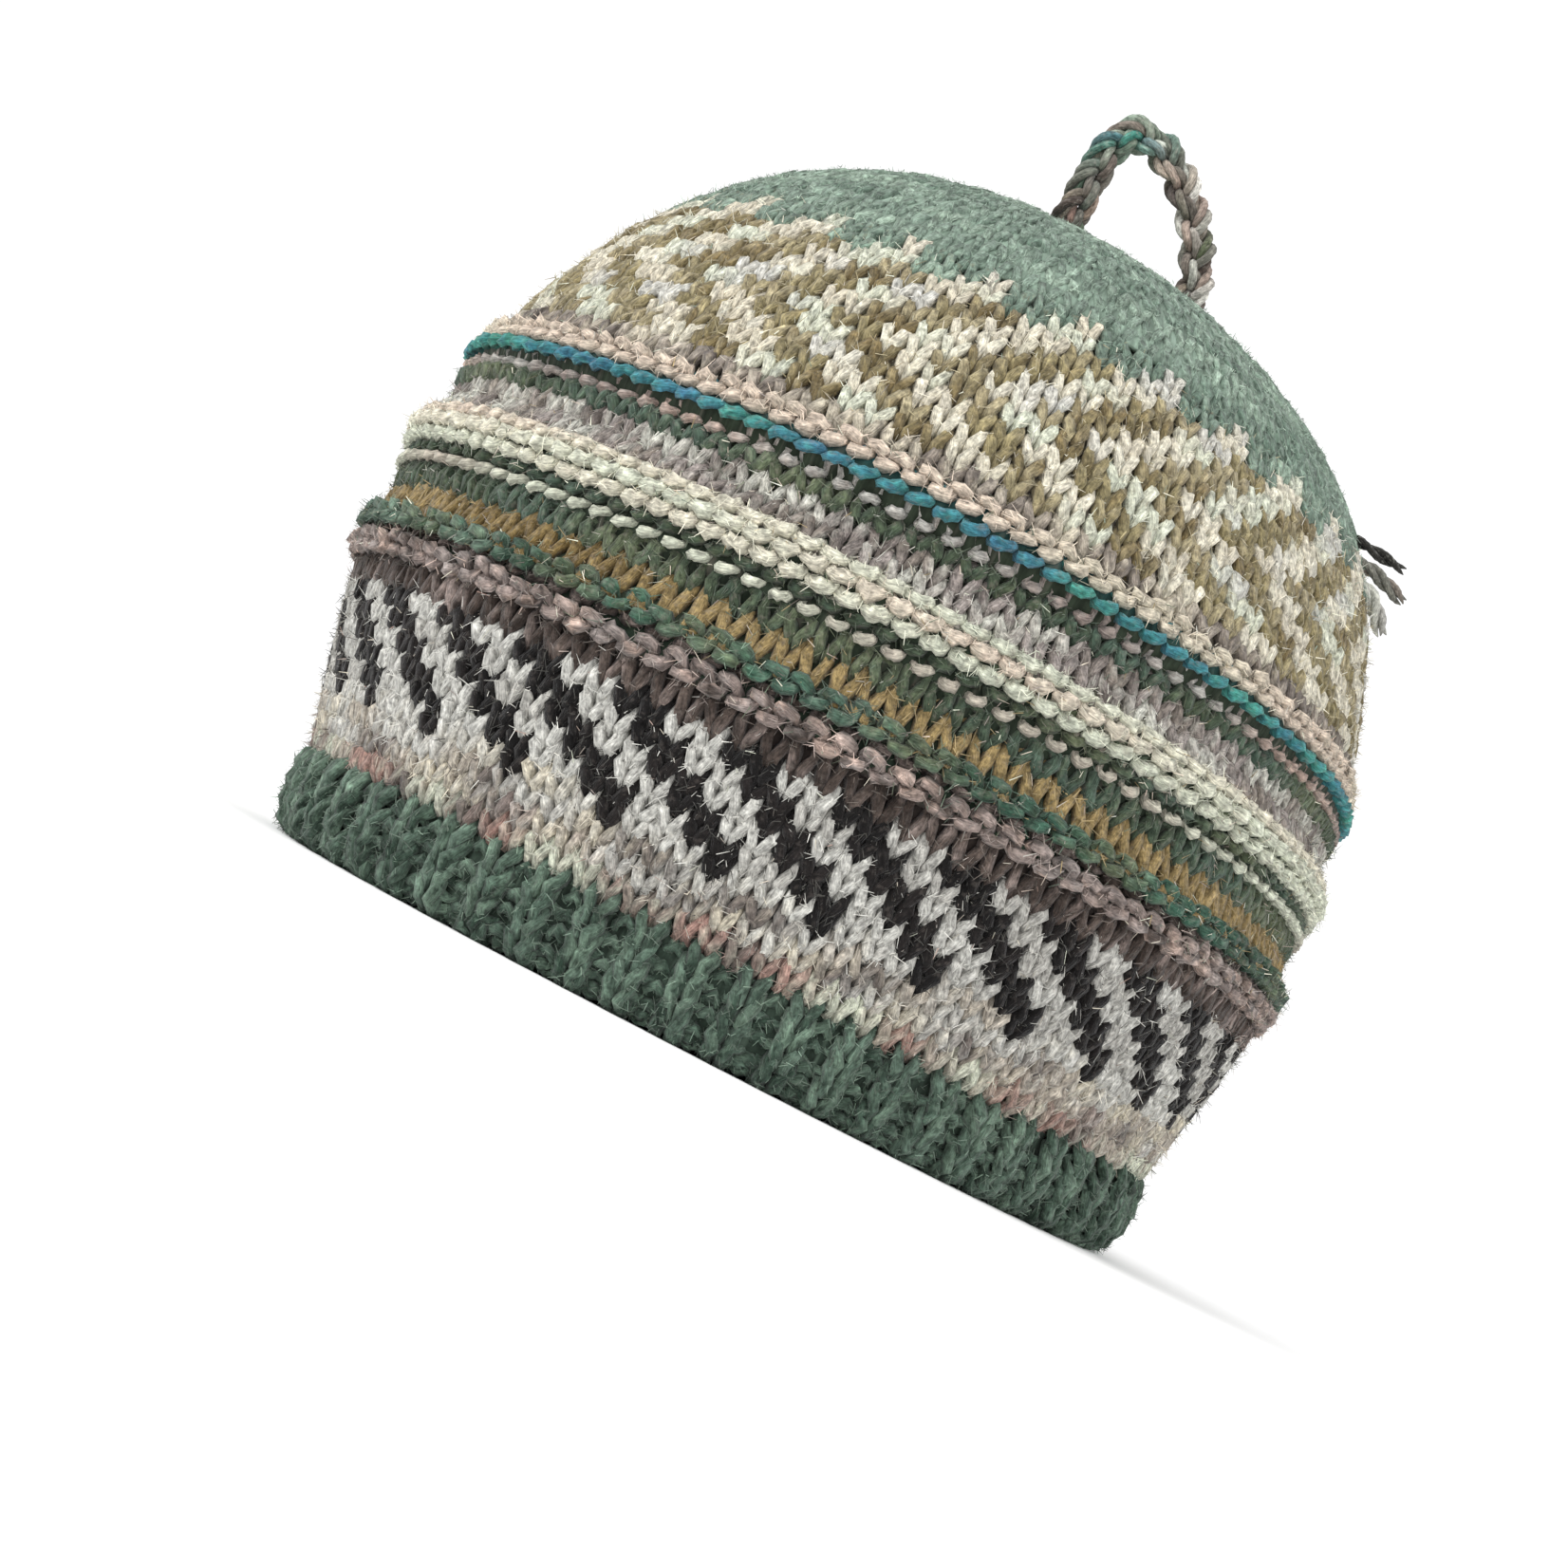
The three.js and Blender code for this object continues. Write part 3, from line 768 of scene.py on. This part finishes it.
def wool_material(name, fleck, fleck_share, ply):
    """Plied wool: its colour along the yarn, twisted plies with painted shade in the grooves between them,
    streaks of fibre and flecks of another wool.
    """
    shader = Shader(name)
    wool, strand = wool_and_strand(shader)
    streak = shader.noise(strand, *STREAKS)
    tweed = shader.noise(strand, *TWEED)
    parts = shader.node("ShaderNodeSeparateXYZ", {"Vector": strand}).outputs
    turned = shader.maths("MULTIPLY", parts["X"], FULL_TURN / ply)
    twist = shader.maths("SINE", shader.maths("MULTIPLY_ADD", parts["Y"], FULL_TURN * PLIES, turned))
    streaked = shader.span(streak, *NOISE_RANGE, *STREAK_SHADE)
    # The plies' twist darkens the wool in the grooves between them: painted shade.
    shade = shader.maths("MULTIPLY", streaked, shader.span(twist, -1, 1, *PLY_GROOVE_PAINTED_SHADE))
    shade = shader.maths("MULTIPLY", shade, shader.span(tweed, *NOISE_RANGE, *TWEED_SHADE))
    shaded = shader.scaled(wool, shade)
    flecked = shader.span(shader.noise(strand, *FLECKS), *FLECK_RANGE, 0, fleck_share)
    tint = shader.node("ShaderNodeMix", {0: flecked, 6: shaded, 7: (*linear(fleck), 1)}, data_type="RGBA")
    height = shader.maths("ADD", shader.maths("MULTIPLY_ADD", twist, TWIST_HEIGHT, streak), tweed)
    relief = {"Strength": BUMP_STRENGTH, "Distance": BUMP_DEPTH * MM, "Height": height}
    bump = shader.node("ShaderNodeBump", relief)
    return shader.finish(
        Base_Color=tint.outputs[2], Roughness=shader.span(streak, *NOISE_RANGE, *WOOL_ROUGHNESS),
        Normal=bump.outputs["Normal"], Specular_IOR_Level=0.15, Sheen_Weight=0.12, Sheen_Roughness=0.5,
    )


def fibre_material(name):
    """Single fibres, paler towards their tips."""
    shader = Shader(name)
    wool, strand = wool_and_strand(shader)
    run = shader.node("ShaderNodeSeparateXYZ", {"Vector": strand}).outputs["X"]
    shaded = shader.scaled(wool, shader.span(run, 0, 1, *TIP_SHADE))
    return shader.finish(Base_Color=shaded, Roughness=0.9, Specular_IOR_Level=0.2, Sheen_Weight=0.2)


def settle(piece, slot, *nodes):
    """Puts a piece on the hat's one body and hides the solid whose place it takes, if any. Its slot is not
    used.
    """
    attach(piece, "root")
    if nodes:
        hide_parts(*nodes)


def knitted_section(node, profile, relief, courses):
    """One section of the hat from its courses, with its ground, darkened as painted shade in the gaps
    between the stitches, and its loose fibres.
    """
    slot, fleck, fleck_share, seed = SECTIONS[node]
    rng = np.random.default_rng(seed)
    knitting = Knitting()
    yarns = []
    for index, course in enumerate(courses):
        shift = 0 if FACES[course.face].turns is LEG_TURNS else index % 2 / 2
        yarns.append(course_yarn(profile, relief, course, shift, rng))
        knitting.add_yarn(yarns[-1], YARN_SIDES, RINGS, closed=True)
    # The ground's lift, and the share of the darkest wool near it that it takes: painted shade in the gaps
    # between the stitches.
    lift, shade = GAP_GROUND_AND_PAINTED_SHADE.get(node, PLAIN_GAP_GROUND_AND_PAINTED_SHADE)
    rings, wool = ground_rings(profile, relief, courses, lift)
    run = np.arange(len(rings) + 1, dtype=float)[None] * STITCH_WIDTH
    knitting.add(rings[None], wool * shade, run, RINGS, closed=True, tube=True)
    material = wool_material(f"{slot}_wool", fleck, fleck_share, KNIT_PLY)
    settle(knitting.make(f"{node}_knit", material), slot, node)

    halo = Knitting()
    hairy = [yarn for yarn, course in zip(yarns, courses) if course.face not in SMOOTH_FACES]
    strips, wools = fibre_strips(hairy, *FIBRES[node], rng)
    run = np.tile(np.linspace(0, 1, strips.shape[1]), (len(strips), 1))
    halo.add(strips, wools, run, strips.shape[1] - 1)
    settle(halo.make(f"{node}_fibres", fibre_material(f"{slot}_fibres")), slot)


def passing_wool(names, count):
    """Colours along a yarn that passes through wools one after another."""
    wools = np.array([linear(WOOL[name]) for name in names])
    place = np.linspace(0, len(names) - 1, count)
    wool = np.stack([np.interp(place, np.arange(len(names)), wools[:, axis]) for axis in range(3)], axis=1)
    return wool[:, None]


def twisted_yarns(knitting, line, across, yarns, radius, twists):
    """Yarns twisted together along a line, each closed at its ends. Across is any way off the line."""
    count = len(line)
    ahead, side, out = yarn_frame(line, np.broadcast_to(across, line.shape))
    share = np.linspace(0, 1, count)
    offset = radius * TWISTED_OFFSET[len(yarns)]
    ends = np.clip(np.minimum(share, 1 - share) * count / TWISTED_END, TWISTED_TIP, 1) ** 0.5
    for index, names in enumerate(yarns):
        turn = FULL_TURN * (twists * share + index / len(yarns))[:, None]
        way = np.cos(turn) * out + np.sin(turn) * side
        middle = line + offset * way
        frame_of_yarn = yarn_frame(middle, way)
        thick = radius * ends[:, None]
        wool = passing_wool(names, count)
        knitting.add_yarn(Yarn(middle, *frame_of_yarn, thick, wool), TWISTED_SIDES, TWISTED_PATCH)


def length_at_radius(radius):
    """Length along the fabric at which the crown reaches a radius."""
    crown = HAT.run > CROWN_FROM
    return np.interp(-radius, -HAT.line[crown, 0], HAT.run[crown])


def loop_arch():
    """Middle line of the plait, as its sideways place and its height, in even steps."""
    reach = np.abs(LOOP_MIDDLE + LOOP_HALF_SPAN * np.array([-1, 1]))
    feet = np.array([HAT.at(length_at_radius(foot), 0)[0][1] for foot in reach]) + LOOP_SEAT
    share = np.linspace(0, 1, ARCH_STEPS)
    turn = np.pi * share
    sideways = LOOP_MIDDLE - LOOP_HALF_SPAN * np.cos(turn) + LOOP_LEAN * np.sin(turn) ** 2
    height = feet[0] + (feet[1] - feet[0]) * share + LOOP_RISE * np.sin(turn)
    return along(np.stack([sideways, height], axis=1), PLAIT_STEPS)


def plait_line(arch, phase):
    """Middle line of one strand, which weaves about the plait's own."""
    share = np.linspace(0, 1, len(arch))
    plaited = np.clip((share - PLAIT_STRAIGHT) / (1 - 2 * PLAIT_STRAIGHT), 0, 1)
    turn = FULL_TURN * PLAIT_TURNS * plaited + phase
    ahead = unit(np.gradient(arch, axis=0))
    outward = np.stack([-ahead[:, 1], ahead[:, 0]], axis=1)
    place = arch + outward * PLAIT_ACROSS * np.sin(turn)[:, None]
    through = PLAIT_THROUGH * np.sin(2 * turn)
    cos = math.cos(LOOP_BEARING)
    sin = math.sin(LOOP_BEARING)
    x = place[:, 0] * cos - through * sin
    y = place[:, 0] * sin + through * cos
    return np.stack([x, y, place[:, 1]], axis=1)


def hanging_loop():
    """The plait, strand by strand."""
    arch = loop_arch()
    square_to_loop = np.array([-math.sin(LOOP_BEARING), math.cos(LOOP_BEARING), 0])
    for index, (node, (slot, yarns)) in enumerate(STRANDS.items()):
        knitting = Knitting()
        line = plait_line(arch, FULL_TURN * index / len(STRANDS))
        twisted_yarns(knitting, line, square_to_loop, yarns, PLAIT_YARN, PLAIT_TWISTS)
        material = wool_material(f"{slot}_wool", *PLAIT_FLECKS, LOOSE_PLY)
        settle(knitting.make(f"{node}_yarns", material), slot, node)


def end_route(spread, leaves, reach, drop):
    """Route of one loose yarn: along the crown from the head, then free past the shoulder."""
    bearing = TASSEL_BEARING + math.radians(spread)
    start = length_at_radius(HEAD_AT)
    share = np.linspace(0, 1, TASSEL_LYING)
    length = start + (leaves - start) * share
    angle = HEAD_BEARING + (bearing - HEAD_BEARING) * share
    place, _ = HAT.at(length, TASSEL_LIFT + (1 - share) * HEAD_RADIUS / 2)
    lying = stand(place, angle)
    outward = np.array([math.cos(bearing), math.sin(bearing), 0])
    tip = lying[-1] + outward * reach - (0, 0, drop)
    half = lying[-1] + outward * reach / 2 - (0, 0, drop * TASSEL_BEND)
    return along(smooth_line([*lying, half, tip]), TASSEL_STEPS)


def wound_head():
    """Line of the yarn wound into the ball that gathers the loose ends, and its outward directions."""
    place, _ = HAT.at(length_at_radius(HEAD_AT), HEAD_RADIUS + HEAD_SEAT)
    centre = stand(place, np.array(HEAD_BEARING))
    share = np.linspace(0, 1, HEAD_STEPS)
    polar = np.pi * (HEAD_POLES + (1 - 2 * HEAD_POLES) * share)
    turn = FULL_TURN * HEAD_COILS * share
    way = np.stack([np.sin(polar) * np.cos(turn), np.sin(polar) * np.sin(turn), np.cos(polar)], axis=1)
    return centre + way * (HEAD_RADIUS - HEAD_SINK), way


def yarn_tassel():
    """The loose ends and their wound head, as one piece."""
    knitting = Knitting()
    up = np.array([0, 0, 1.0])
    for *route, radius, names in TASSEL_ENDS:
        yarns = [(name,) * 2 for name in names]
        twisted_yarns(knitting, end_route(*route), up, yarns, radius, TASSEL_TWISTS)
    line, way = wound_head()
    thick = np.full((len(line), 1), HEAD_YARN)
    thick[[0, -1]] = HEAD_TIP
    wool = passing_wool(HEAD_WOOLS, len(line))
    coil = Yarn(line, *yarn_frame(line, way), thick, wool)
    knitting.add_yarn(coil, TWISTED_SIDES, TWISTED_PATCH)
    material = wool_material("loose_yarn_wool", *TASSEL_FLECKS, LOOSE_PLY)
    settle(knitting.make("yarn_tassel_yarns", material), "loose_yarn", "yarn_tassel")


def band_courses(rng):
    """Courses of the ribbed band, from its inside round the foot to its outside."""
    start = BAND.corners[1]
    end = BAND.corners[-2]
    pitch = (end - start) / BAND_COURSES
    middles = start + pitch * (np.arange(BAND_COURSES) + 0.5)
    courses = []
    for middle in middles:
        wool = drifting_wool("rib", STITCHES, rng)
        courses.append(Course("rib", middle, pitch, STITCHES, wool))
    return courses


def hat():
    """The five knitted sections, from the rim up."""
    rng = np.random.default_rng(WOOL_SEED)
    knitted_section("rib_band", BAND, rib_relief, band_courses(rng))
    lower = laid_courses(LOWER_COURSES, LOWER_FROM, STITCHES, rng)
    knitted_section("lower_panel", HAT, no_relief, lower)
    welts = laid_courses(WELT_COURSES, WELTS_FROM, STITCHES, rng)
    knitted_section("welt_stripes", HAT, stripe_relief, welts)
    upper = laid_courses(UPPER_COURSES, UPPER_FROM, UPPER_STITCHES, rng)
    knitted_section("upper_panel", HAT, no_relief, upper)
    knitted_section("crown", HAT, no_relief, crown_courses(rng))


# The photograph's frame: its pixels, how much of the hat one covers, and the pixel of the hat's middle.
FRAME_PIXELS = 1652
PIXEL = 0.196
HAT_MIDDLE = Vector((0, 0, 90 * MM))
HAT_AT = (940, 685)
CAMERA_BEARING = math.radians(42)
CAMERA_AWAY = 520 * MM
CAMERA_HEIGHT = 12 * MM
CAMERA_ROLL = math.radians(27.5)
CAMERA_NEAREST = 10 * MM
SENSOR = 36

# The studio, in metres and watts: each light's place, size and power, and the round paper floor.
LIGHTS = {
    "key": ((-0.1, -1.2, 1.1), 0.9, 13),
    "fill": ((1.3, -0.2, 0.7), 1.2, 4),
}
SKY_STRENGTH = 1.08
FLOOR_RADIUS = 6
FLOOR_POINTS = 96
FLOOR_COLOUR = (0.97, 0.97, 0.97, 1)


def camera():
    """The photograph's bearing and lean, from just above the floor."""
    away = Vector((math.sin(CAMERA_BEARING), -math.cos(CAMERA_BEARING), 0)) * CAMERA_AWAY
    place = away + Vector((0, 0, CAMERA_HEIGHT))
    distance = (HAT_MIDDLE - place).length
    ahead = (HAT_MIDDLE - place).normalized()
    level = ahead.cross(Vector((0, 0, 1))).normalized()
    up = level.cross(ahead)
    right = level * math.cos(CAMERA_ROLL) + up * math.sin(CAMERA_ROLL)
    top = up * math.cos(CAMERA_ROLL) - level * math.sin(CAMERA_ROLL)
    aside = (HAT_AT[0] - FRAME_PIXELS / 2) * PIXEL * MM
    above = (FRAME_PIXELS / 2 - HAT_AT[1]) * PIXEL * MM
    aim = HAT_MIDDLE - right * aside - top * above
    ahead = (aim - place).normalized()
    right = (right - ahead * right.dot(ahead)).normalized()
    top = right.cross(ahead)
    lens = bpy.data.cameras.new("camera")
    lens.sensor_width = SENSOR
    lens.lens = SENSOR * distance / (FRAME_PIXELS * PIXEL * MM)
    lens.clip_start = CAMERA_NEAREST
    seen = bpy.data.objects.new("camera", lens)
    turn = Matrix((right, top, -ahead)).transposed()
    seen.matrix_world = Matrix.Translation(place) @ turn.to_4x4()
    bpy.context.scene.collection.objects.link(seen)
    bpy.context.scene.camera = seen


def area_light(name, place, size, power):
    """A soft round light, turned to the hat."""
    lamp = bpy.data.lights.new(name, "AREA")
    lamp.shape = "DISK"
    lamp.size = size
    lamp.energy = power
    made = bpy.data.objects.new(name, lamp)
    made.location = place
    made.rotation_euler = (HAT_MIDDLE - Vector(place)).to_track_quat("-Z", "Y").to_euler()
    bpy.context.scene.collection.objects.link(made)


def studio():
    """A white floor and soft light from all round, a little stronger from the upper left."""
    world = bpy.data.worlds.new("studio")
    world.use_nodes = True
    sky = world.node_tree.nodes["Background"].inputs
    sky["Color"].default_value = (1, 1, 1, 1)
    sky["Strength"].default_value = SKY_STRENGTH
    bpy.context.scene.world = world
    bpy.context.scene.view_settings.view_transform = "Standard"
    for name, light in LIGHTS.items():
        area_light(name, *light)

    mesh = bpy.data.meshes.new("floor")
    turn = FULL_TURN * np.arange(FLOOR_POINTS) / FLOOR_POINTS
    rim = FLOOR_RADIUS * np.stack([np.cos(turn), np.sin(turn), 0 * turn], axis=1)
    mesh.from_pydata(rim.tolist(), [], [list(range(len(rim)))])
    floor = bpy.data.objects.new("floor", mesh)
    shader = Shader("floor_paper")
    paper = shader.finish(Base_Color=FLOOR_COLOUR, Roughness=0.9, Specular_IOR_Level=0.1)
    mesh.materials.append(paper)
    bpy.context.scene.collection.objects.link(floor)


camera()
hat()
hanging_loop()
yarn_tassel()
studio()
